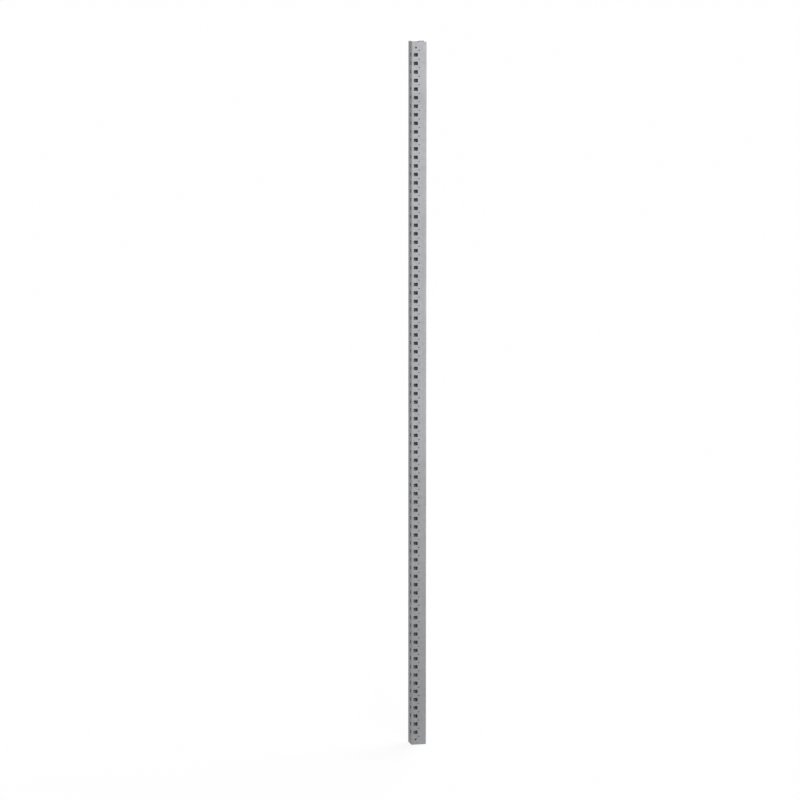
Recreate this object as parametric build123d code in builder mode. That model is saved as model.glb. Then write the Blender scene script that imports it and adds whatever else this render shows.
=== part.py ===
from build123d import *
import os

# Vertical corner upright of a sheet-metal enclosure frame, roll-formed from one strip and
# closed into a tube. All lengths are in millimetres. Z runs up the upright. The inner corner
# of the section, where the two perforated faces meet, points to -X and -Y.

# Overall size
LENGTH = 2100.0
SIDE = 45.0
WALL = 1.5

# Section of an outer face, measured from its open edge towards the outer corner
RIB_WIDTH = 7.5
GUTTER_DEPTH = 20.0
FLOOR_END = 21.0
STRIP_START = 35.0
STEP_RUN = 2.5
STEP_DEPTH = 3.0

# Bend radii on the outside of the sheet
BEND = 2.0
CORNER_BEND = 4.0

# System holes in the two inner faces: slots, and pilot holes midway between them
PITCH = 25.0
SLOT_ACROSS = 12.5
SLOT_ALONG = 10.5
SLOT_LINE = 12.5
SLOT_END = 37.5
PILOT_DIA = 3.6
PILOT_LINE = 22.5
PILOT_END = 25.0
PILOT_SIDES = 8

# Fixing holes next to the square-cut ends, in the inner faces, gutter floors and rib walls
FIXING_DIA = 6.0
FIXING_END = 16.0
FIXING_DEPTH = 10.0
FLOOR_LINE = 13.5

# Drain slots across the gutter floors, above the fixing holes
DRAIN_LENGTH = 9.0
DRAIN_WIDTH = 5.0
DRAIN_END = 48.0

half = SIDE / 2
middle = LENGTH / 2
floor_level = SIDE - GUTTER_DEPTH
cut_depth = 2 * WALL
fixing_gap = LENGTH - 2 * FIXING_END
drain_gap = LENGTH - 2 * DRAIN_END
slot_count = int((LENGTH - 2 * SLOT_END) // PITCH) + 1
pilot_count = int((LENGTH - 2 * PILOT_END) // PITCH) + 1
pilot_heights = [(i - (pilot_count - 1) / 2) * PITCH for i in range(pilot_count)]

# Screws go into a low, a middle and a high pair of pilots on each face. These are true
# circles, and the many others have eight sides, which keeps the part light.
pair_starts = (0, (pilot_count - 1) // 2, pilot_count - 2)
round_pilots = [pilot_heights[i + step] for i in pair_starts for step in (0, 1)]
plain_pilots = [height for height in pilot_heights if height not in round_pilots]

# One half of the outline, from the inner corner round to the outer corner, and its mirror image
lower_half = [
    (0, 0),
    (SIDE, 0),
    (SIDE, RIB_WIDTH),
    (floor_level, RIB_WIDTH),
    (floor_level, FLOOR_END),
    (SIDE - STEP_DEPTH, STRIP_START - STEP_RUN),
    (SIDE, STRIP_START),
    (SIDE, SIDE),
]
upper_half = [(y, x) for x, y in lower_half[-2:0:-1]]
outline = [(x - half, y - half) for x, y in lower_half + upper_half]

with BuildSketch(Plane.XY) as section:
    with BuildLine():
        Polyline(*outline, close=True)
    make_face()
    fillet(section.vertices().sort_by_distance((-half, -half))[1:], radius=BEND)
    fillet(section.vertices().sort_by_distance((-half, -half))[0], radius=CORNER_BEND)
    offset(section.face(), amount=-WALL, mode=Mode.SUBTRACT)


def wall_plane(x, y, across, normal):
    """Drawing plane on a wall at mid-height, with its Y axis up the upright."""
    return Plane(origin=(x - half, y - half, middle), x_dir=across, z_dir=normal)


# Each wall with the sign that leads from the inner corner's side across the wall
inner_faces = [
    (wall_plane(0, 0, (1, 0, 0), (0, -1, 0)), 1),
    (wall_plane(0, 0, (0, -1, 0), (-1, 0, 0)), -1),
]
gutter_floors = [
    (wall_plane(floor_level, 0, (0, 1, 0), (1, 0, 0)), 1),
    (wall_plane(0, floor_level, (-1, 0, 0), (0, 1, 0)), -1),
]
rib_walls = [
    (wall_plane(0, RIB_WIDTH, (-1, 0, 0), (0, 1, 0)), -1),
    (wall_plane(RIB_WIDTH, 0, (0, 1, 0), (1, 0, 0)), 1),
]

with BuildPart() as upright:
    add(section)
    extrude(amount=LENGTH)

    # Slots, pilot holes and end fixings of the inner faces
    for plane, way in inner_faces:
        with BuildSketch(plane):
            with Locations((way * SLOT_LINE, 0)):
                with GridLocations(PITCH, PITCH, 1, slot_count):
                    Rectangle(SLOT_ACROSS, SLOT_ALONG)
                with GridLocations(PITCH, fixing_gap, 1, 2):
                    Circle(FIXING_DIA / 2)
            with Locations(*[(way * PILOT_LINE, height) for height in round_pilots]):
                Circle(PILOT_DIA / 2)
            with Locations(*[(way * PILOT_LINE, height) for height in plain_pilots]):
                RegularPolygon(PILOT_DIA / 2, PILOT_SIDES)
        extrude(amount=-cut_depth, mode=Mode.SUBTRACT)

    # End fixings and drain slots of the gutter floors
    for plane, way in gutter_floors:
        with BuildSketch(plane):
            with Locations((way * FLOOR_LINE, 0)):
                with GridLocations(PITCH, fixing_gap, 1, 2):
                    Circle(FIXING_DIA / 2)
                with GridLocations(PITCH, drain_gap, 1, 2):
                    SlotOverall(DRAIN_LENGTH, DRAIN_WIDTH)
        extrude(amount=-cut_depth, mode=Mode.SUBTRACT)

    # End fixings of the rib walls
    for plane, way in rib_walls:
        with BuildSketch(plane):
            with Locations((way * (SIDE - FIXING_DEPTH), 0)):
                with GridLocations(PITCH, fixing_gap, 1, 2):
                    Circle(FIXING_DIA / 2)
        extrude(amount=-cut_depth, mode=Mode.SUBTRACT)

upright.part.label = "upright_profile"
upright.part.color = Color(0.78, 0.79, 0.8)

os.makedirs("parts", exist_ok=True)
export_step(upright.part, "parts/upright_profile.step")
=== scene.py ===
import math
import bpy
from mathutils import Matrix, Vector


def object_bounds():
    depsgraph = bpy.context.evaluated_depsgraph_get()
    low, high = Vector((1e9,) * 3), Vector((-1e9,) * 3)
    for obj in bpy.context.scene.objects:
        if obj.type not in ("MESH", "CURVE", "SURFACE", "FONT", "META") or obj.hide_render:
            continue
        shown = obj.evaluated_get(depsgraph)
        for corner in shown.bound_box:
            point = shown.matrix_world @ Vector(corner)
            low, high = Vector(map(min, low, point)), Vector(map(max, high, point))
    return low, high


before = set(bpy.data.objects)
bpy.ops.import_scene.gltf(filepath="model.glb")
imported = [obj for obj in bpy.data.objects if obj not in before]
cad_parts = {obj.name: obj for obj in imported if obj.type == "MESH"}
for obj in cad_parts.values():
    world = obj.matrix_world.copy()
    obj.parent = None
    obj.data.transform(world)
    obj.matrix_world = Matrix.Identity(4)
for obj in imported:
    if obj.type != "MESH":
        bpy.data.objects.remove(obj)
size_at_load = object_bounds()
low = Vector(size_at_load[0])

# Viewing angle of the photograph: the camera stands far off, to the left of the front face,
# above head height, and looks down. Lengths are in metres. DISTANCE is measured level, to the
# line of the front slots, and the camera's axis passes to the left of that line.
IMAGE_PX = 800
FOCAL_PX = 4518.0
SENSOR_MM = 36.0
PITCH = math.radians(9.5)
AZIMUTH = math.radians(12.5)
DISTANCE = 13.141
HEIGHT = 3.2427
AXIS_LEFT = 0.0462
SLOT_LINE = 0.0125

# Light: an even sky, a soft sun from the front and another from behind on the right, and a high
# spot in front that lights the upper part and fades out towards the foot
SKY = 0.22
SUN = 1.5
SUN_ELEVATION = math.radians(25)
SUN_AZIMUTH = math.radians(0)
SUN_SOFTNESS = math.radians(25)
BACK_SUN = 3.0
BACK_ELEVATION = math.radians(35)
BACK_AZIMUTH = math.radians(130)
BACK_SOFTNESS = math.radians(50)
SPOT_WATTS = 1900.0
SPOT_RADIUS = 0.35
SPOT_PLACE = Vector((-0.4, -8.0, 6.9))
SPOT_AIM = Vector((0.0, 0.0, 2.0))
SPOT_CONE = math.radians(15.2)
SPOT_BLEND = 0.5

# Floor: where it is seen it glows and takes some light, so it is white and keeps the shadow.
# For the light that it throws on the object it is a dark grey.
FLOOR_SIZE = 160.0
FLOOR_LIT = 0.10
FLOOR_GLOW = 0.90
FLOOR_GREY = 0.20

# Zinc-coated sheet: tones of the grey
ZINC_DARK = (0.295, 0.300, 0.312, 1.0)
ZINC_LIGHT = (0.400, 0.406, 0.422, 1.0)
# Lighter tone on the bends: partly real wear, partly a painted highlight
WORN_HIGHLIGHT = (0.54, 0.545, 0.555, 1.0)
CUT_STEEL = (0.30, 0.295, 0.29, 1.0)
# Painted shade deep in the gutters and inside the tube
RECESS_SHADE = (0.25, 0.25, 0.25, 1.0)
METALLIC = 0.30
SPECULAR = 0.4

# Patterns: their scales in cells per metre, and how finely each is broken up. The crystals'
# borders are bent by noise, by up to CRYSTAL_BEND metres.
CRYSTALS = 210.0
CRYSTAL_BEND_SCALE = 1.5 * CRYSTALS
CRYSTAL_BEND = 0.6 / CRYSTALS
FEATHERS = (1100.0, 1100.0, 160.0)
FEATHER_DETAIL = 2.0
CLOUDS = 9.0
CLOUD_DETAIL = 4.0
STREAKS = (95.0, 95.0, 0.9)
STREAK_DETAIL = 3.0
ROLL_LINES = (1500.0, 1500.0, 7.0)
ROLL_LINE_DETAIL = 2.0

# How much each pattern adds to the tone, the roughness and the relief. For the tone and the
# roughness, the ends of the part of the sum that is used are given as well.
TONE_WEIGHTS = {"crystal": 0.27, "feather": 0.18, "cloud": 0.45, "streak": 0.40, "roll_line": 0.10}
TONE_LOW = 0.43
TONE_HIGH = 0.97
ROUGH_WEIGHTS = {"crystal": 0.4, "feather": 0.3, "roll_line": 0.3}
ROUGH_SUM_LOW = 0.2
ROUGH_SUM_HIGH = 0.8
ROUGH_LOW = 0.44
ROUGH_HIGH = 0.64
RELIEF_WEIGHTS = {"crystal": 0.3, "roll_line": 1.0, "feather": 0.5}
BUMP_STRENGTH = 0.25
BUMP_DEPTH = 0.0001

# Worn bends, lightened partly by real wear and partly by a painted highlight: the sum of a surface's
# distances from the two middle planes is greatest there. The lightening starts at the first sum and
# is full at the second. The clouds make it patchy. The first amount below is how much it changes the
# tone, and WEAR_POLISH how much smoother the surface gets.
CORNER_START = 0.0415
CORNER_FULL = 0.0437
WEAR_AND_HIGHLIGHT = 0.9
WEAR_POLISH = 0.12
PATCH_CLOUD_LOW = 0.3
PATCH_CLOUD_HIGH = 0.7
PATCH_LEAST = 0.2

# Painted shade deep in the gutters and inside the tube: it begins where the larger of those two
# distances is the first number, and is full where it is the second
GUTTER_START = 0.0190
GUTTER_FULL = 0.0060
RECESS_SHADE_AMOUNT = 0.12

# Bare steel: on the cut ends, and on the punched edges within the sheet of the perforated walls
END_NORMAL = 0.7
SHEET = 0.0016
FLAT_REACH = 0.018


def link(tree, source, target):
    tree.links.new(source, target)


def math_node(tree, operation, first, second=0.0):
    """One sum on two numbers, each of which is a socket or a plain value."""
    node = tree.nodes.new("ShaderNodeMath")
    node.operation = operation
    for value, socket in ((first, node.inputs[0]), (second, node.inputs[1])):
        if isinstance(value, bpy.types.NodeSocket):
            link(tree, value, socket)
        else:
            socket.default_value = value
    return node.outputs[0]


def seen_directly(tree):
    """1 for camera, glossy and transmission rays, and 0 for the rays that light the object."""
    path = tree.nodes.new("ShaderNodeLightPath")
    either = math_node(tree, "MAXIMUM", path.outputs["Is Camera Ray"], path.outputs["Is Glossy Ray"])
    return math_node(tree, "MAXIMUM", either, path.outputs["Is Transmission Ray"])


def switch(tree, plain, shown):
    """A number that is plain for lighting rays and shown where the eye or a reflection sees it."""
    mix = tree.nodes.new("ShaderNodeMix")
    mix.data_type = "FLOAT"
    link(tree, seen_directly(tree), mix.inputs["Factor"])
    mix.inputs["A"].default_value = plain
    mix.inputs["B"].default_value = shown
    return mix.outputs["Result"]


def weighted_sum(tree, patterns, weights):
    """Adds up the patterns that are named in weights, each times its weight."""
    total = None
    for name, weight in weights.items():
        share = math_node(tree, "MULTIPLY", patterns[name], weight)
        total = share if total is None else math_node(tree, "ADD", total, share)
    return total


def ramp_between(tree, value, start, full):
    """0 at start, 1 at full, smooth between, and level beyond. Full may be the smaller one."""
    node = tree.nodes.new("ShaderNodeMapRange")
    node.interpolation_type = "SMOOTHSTEP"
    link(tree, value, node.inputs["Value"])
    node.inputs["From Min"].default_value = start
    node.inputs["From Max"].default_value = full
    return node.outputs["Result"]


def spread(tree, value, bottom, top, low_end, high_end):
    """Moves a number linearly from one range to another."""
    node = tree.nodes.new("ShaderNodeMapRange")
    link(tree, value, node.inputs["Value"])
    node.inputs["From Min"].default_value = bottom
    node.inputs["From Max"].default_value = top
    node.inputs["To Min"].default_value = low_end
    node.inputs["To Max"].default_value = high_end
    return node.outputs["Result"]


def mix_colour(tree, factor, first, second):
    """Blends two colours, each of which is a socket or a plain value."""
    node = tree.nodes.new("ShaderNodeMix")
    node.data_type = "RGBA"
    link(tree, factor, node.inputs["Factor"])
    for value, socket in ((first, node.inputs[6]), (second, node.inputs[7])):
        if isinstance(value, bpy.types.NodeSocket):
            link(tree, value, socket)
        else:
            socket.default_value = value
    return node.outputs[2]


def noise(tree, place, scale, detail, stretch=None):
    """Noise of the given scale, drawn out along an axis where stretch gives three scales."""
    if stretch:
        mapping = tree.nodes.new("ShaderNodeMapping")
        link(tree, place, mapping.inputs["Vector"])
        mapping.inputs["Scale"].default_value = stretch
        place = mapping.outputs["Vector"]
    node = tree.nodes.new("ShaderNodeTexNoise")
    link(tree, place, node.inputs["Vector"])
    node.inputs["Scale"].default_value = scale
    node.inputs["Detail"].default_value = detail
    return node.outputs["Fac"]


def bent_place(tree, place):
    """The place, shifted a little by noise, so that the crystals get uneven borders."""
    bend = tree.nodes.new("ShaderNodeTexNoise")
    link(tree, place, bend.inputs["Vector"])
    bend.inputs["Scale"].default_value = CRYSTAL_BEND_SCALE
    shift = tree.nodes.new("ShaderNodeVectorMath")
    shift.operation = "SCALE"
    link(tree, bend.outputs["Color"], shift.inputs[0])
    shift.inputs["Scale"].default_value = CRYSTAL_BEND
    moved = tree.nodes.new("ShaderNodeVectorMath")
    moved.operation = "ADD"
    link(tree, place, moved.inputs[0])
    link(tree, shift.outputs["Vector"], moved.inputs[1])
    return moved.outputs["Vector"]


def crystals(tree, place):
    """One random number for each zinc crystal, and the fine feathers that grow across it."""
    cells = tree.nodes.new("ShaderNodeTexVoronoi")
    link(tree, bent_place(tree, place), cells.inputs["Vector"])
    cells.inputs["Scale"].default_value = CRYSTALS
    parts = tree.nodes.new("ShaderNodeSeparateColor")
    link(tree, cells.outputs["Color"], parts.inputs["Color"])
    turned = tree.nodes.new("ShaderNodeVectorRotate")
    link(tree, place, turned.inputs["Vector"])
    link(tree, cells.outputs["Color"], turned.inputs["Axis"])
    angle = math_node(tree, "MULTIPLY", parts.outputs["Green"], math.tau)
    link(tree, angle, turned.inputs["Angle"])
    feather = noise(tree, turned.outputs["Vector"], 1.0, FEATHER_DETAIL, FEATHERS)
    return parts.outputs["Red"], feather


def zinc_patterns(tree, place):
    """The patterns of the finish by name."""
    crystal, feather = crystals(tree, place)
    return {
        "crystal": crystal,
        "feather": feather,
        "cloud": noise(tree, place, CLOUDS, CLOUD_DETAIL),
        "streak": noise(tree, place, 1.0, STREAK_DETAIL, STREAKS),
        "roll_line": noise(tree, place, 1.0, ROLL_LINE_DETAIL, ROLL_LINES),
    }


def split_axes(tree, vector):
    """The X, Y and Z sockets of a vector."""
    axes = tree.nodes.new("ShaderNodeSeparateXYZ")
    link(tree, vector, axes.inputs[0])
    return axes.outputs["X"], axes.outputs["Y"], axes.outputs["Z"]


def facing_along(tree, normal):
    """1 where the surface faces along an axis, from the normal's part on that axis."""
    return math_node(tree, "GREATER_THAN", math_node(tree, "ABSOLUTE", normal), END_NORMAL)


def hole_edge(tree, depth, face, along, normal):
    """1 on the punched edges inside a perforated wall: within the sheet, facing along the wall."""
    in_sheet = math_node(tree, "LESS_THAN", depth, face + SHEET)
    clear_of_bends = math_node(tree, "LESS_THAN", math_node(tree, "ABSOLUTE", along), FLAT_REACH)
    edge = math_node(tree, "MULTIPLY", in_sheet, clear_of_bends)
    return math_node(tree, "MULTIPLY", edge, facing_along(tree, normal))


def bare_steel(tree, place, normal):
    """1 on the cut ends and on the punched edges of the front and left walls."""
    x, y, _ = split_axes(tree, place)
    normal_x, normal_y, normal_z = split_axes(tree, normal)
    front_edge = hole_edge(tree, y, low.y, x, normal_x)
    left_edge = hole_edge(tree, x, low.x, y, normal_y)
    edges = math_node(tree, "MAXIMUM", front_edge, left_edge)
    return math_node(tree, "MAXIMUM", facing_along(tree, normal_z), edges)


def highlit_bends_and_shaded_recesses(tree, place, cloud):
    """Two masks: 1 on the bends that show wear and get a painted highlight, and 1 deep in the
    gutters and inside the tube, where shade is painted.
    """
    x, y, _ = split_axes(tree, place)
    across = math_node(tree, "ABSOLUTE", x)
    deep = math_node(tree, "ABSOLUTE", y)
    corner = ramp_between(tree, math_node(tree, "ADD", across, deep), CORNER_START, CORNER_FULL)
    patches = spread(tree, cloud, PATCH_CLOUD_LOW, PATCH_CLOUD_HIGH, PATCH_LEAST, 1.0)
    worn_and_highlit = math_node(tree, "MULTIPLY", corner, patches)
    reach = math_node(tree, "MAXIMUM", across, deep)
    return worn_and_highlit, ramp_between(tree, reach, GUTTER_START, GUTTER_FULL)


def zinc_colour(tree, patterns, worn_and_highlit, recess_shade, cut):
    tone = weighted_sum(tree, patterns, TONE_WEIGHTS)
    tone = spread(tree, tone, TONE_LOW, TONE_HIGH, 0.0, 1.0)
    colour = mix_colour(tree, tone, ZINC_DARK, ZINC_LIGHT)
    # The bends get lighter: partly real wear, partly a painted highlight
    colour = mix_colour(tree, math_node(tree, "MULTIPLY", worn_and_highlit, WEAR_AND_HIGHLIGHT), colour, WORN_HIGHLIGHT)
    # Painted shade: darker deep in the gutters and inside the tube
    colour = mix_colour(tree, math_node(tree, "MULTIPLY", recess_shade, RECESS_SHADE_AMOUNT), colour, RECESS_SHADE)
    return mix_colour(tree, cut, colour, CUT_STEEL)


def zinc_roughness(tree, patterns, worn_and_highlit):
    """Satin, differing from crystal to crystal, and a little smoother on the bends that show wear.
    """
    rough = weighted_sum(tree, patterns, ROUGH_WEIGHTS)
    rough = spread(tree, rough, ROUGH_SUM_LOW, ROUGH_SUM_HIGH, ROUGH_LOW, ROUGH_HIGH)
    return math_node(tree, "SUBTRACT", rough, math_node(tree, "MULTIPLY", worn_and_highlit, WEAR_POLISH))


def zinc_relief(tree, patterns):
    bump = tree.nodes.new("ShaderNodeBump")
    bump.inputs["Strength"].default_value = BUMP_STRENGTH
    bump.inputs["Distance"].default_value = BUMP_DEPTH
    link(tree, weighted_sum(tree, patterns, RELIEF_WEIGHTS), bump.inputs["Height"])
    return bump.outputs["Normal"]


def zinc_steel():
    """Satin zinc-coated sheet with a painted highlight on the bends that show wear, painted shade in
    the gutters, and bare cut edges.
    """
    mat = bpy.data.materials.new("zinc_coated_steel")
    mat.use_nodes = True
    tree = mat.node_tree
    shader = tree.nodes["Principled BSDF"]
    coordinates = tree.nodes.new("ShaderNodeTexCoord")
    place = coordinates.outputs["Object"]
    patterns = zinc_patterns(tree, place)
    # Masks for the painted highlight on the bends and the painted shade in the gutters
    worn_and_highlit, recess_shade = highlit_bends_and_shaded_recesses(tree, place, patterns["cloud"])
    cut = bare_steel(tree, place, coordinates.outputs["Normal"])
    link(tree, zinc_colour(tree, patterns, worn_and_highlit, recess_shade, cut), shader.inputs["Base Color"])
    link(tree, zinc_roughness(tree, patterns, worn_and_highlit), shader.inputs["Roughness"])
    link(tree, zinc_relief(tree, patterns), shader.inputs["Normal"])
    shader.inputs["Metallic"].default_value = METALLIC
    shader.inputs["Specular IOR Level"].default_value = SPECULAR
    return mat


def dress(node, material):
    """Gives a CAD node one material in all of its slots."""
    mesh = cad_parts[node].data
    if not mesh.materials:
        mesh.materials.append(material)
    for i in range(len(mesh.materials)):
        mesh.materials[i] = material


def floor_white():
    mat = bpy.data.materials.new("floor_white")
    mat.use_nodes = True
    tree = mat.node_tree
    tree.nodes.remove(tree.nodes["Principled BSDF"])
    diffuse = tree.nodes.new("ShaderNodeBsdfDiffuse")
    link(tree, switch(tree, FLOOR_GREY, FLOOR_LIT), diffuse.inputs["Color"])
    glow = tree.nodes.new("ShaderNodeEmission")
    link(tree, switch(tree, 0.0, FLOOR_GLOW), glow.inputs["Strength"])
    both = tree.nodes.new("ShaderNodeAddShader")
    link(tree, diffuse.outputs[0], both.inputs[0])
    link(tree, glow.outputs[0], both.inputs[1])
    link(tree, both.outputs[0], tree.nodes["Material Output"].inputs["Surface"])
    return mat


def add_floor():
    """Plain pale floor, large enough to fill the picture from any side."""
    bpy.ops.mesh.primitive_plane_add(size=FLOOR_SIZE, location=(0, 0, 0))
    plane = bpy.context.object
    plane.name = "floor"
    plane.data.materials.append(floor_white())


def add_sky():
    """White where it is seen, and a dimmer even light for the object."""
    sky = bpy.data.worlds.new("studio")
    bpy.context.scene.world = sky
    sky.use_nodes = True
    back = sky.node_tree.nodes["Background"]
    back.inputs["Color"].default_value = (1.0, 1.0, 1.0, 1.0)
    link(sky.node_tree, switch(sky.node_tree, SKY, 1.0), back.inputs["Strength"])


def add_sun(name, energy, softness, azimuth, elevation):
    """A soft sun. Azimuth 0 is in front, and it grows towards the right."""
    data = bpy.data.lights.new(name, "SUN")
    data.energy = energy
    data.angle = softness
    obj = bpy.data.objects.new(name, data)
    bpy.context.collection.objects.link(obj)
    flat = math.cos(elevation)
    towards = Vector((flat * math.sin(azimuth), -flat * math.cos(azimuth), math.sin(elevation)))
    obj.rotation_euler = towards.to_track_quat("Z", "Y").to_euler()


def add_soft_spot():
    data = bpy.data.lights.new("soft_spot", "SPOT")
    data.energy = SPOT_WATTS
    data.shadow_soft_size = SPOT_RADIUS
    data.spot_size = SPOT_CONE
    data.spot_blend = SPOT_BLEND
    obj = bpy.data.objects.new("soft_spot", data)
    bpy.context.collection.objects.link(obj)
    obj.location = SPOT_PLACE
    obj.rotation_euler = (SPOT_AIM - SPOT_PLACE).to_track_quat("-Z", "Y").to_euler()


def add_camera():
    data = bpy.data.cameras.new("camera")
    data.sensor_width = SENSOR_MM
    data.lens = FOCAL_PX * SENSOR_MM / IMAGE_PX
    obj = bpy.data.objects.new("camera", data)
    bpy.context.collection.objects.link(obj)
    slot_line = Vector((low.x + SLOT_LINE, low.y, 0))
    forward = Vector((math.sin(AZIMUTH), math.cos(AZIMUTH), 0))
    right = Vector((math.cos(AZIMUTH), -math.sin(AZIMUTH), 0))
    obj.location = slot_line - DISTANCE * forward - AXIS_LEFT * right + Vector((0, 0, HEIGHT))
    obj.rotation_euler = (math.pi / 2 - PITCH, 0, -AZIMUTH)
    bpy.context.scene.camera = obj


dress("upright_profile", zinc_steel())
add_floor()
add_sky()
add_sun("front_sun", SUN, SUN_SOFTNESS, SUN_AZIMUTH, SUN_ELEVATION)
add_sun("back_sun", BACK_SUN, BACK_SOFTNESS, BACK_AZIMUTH, BACK_ELEVATION)
add_soft_spot()
add_camera()
bpy.context.scene.view_settings.view_transform = "Standard"
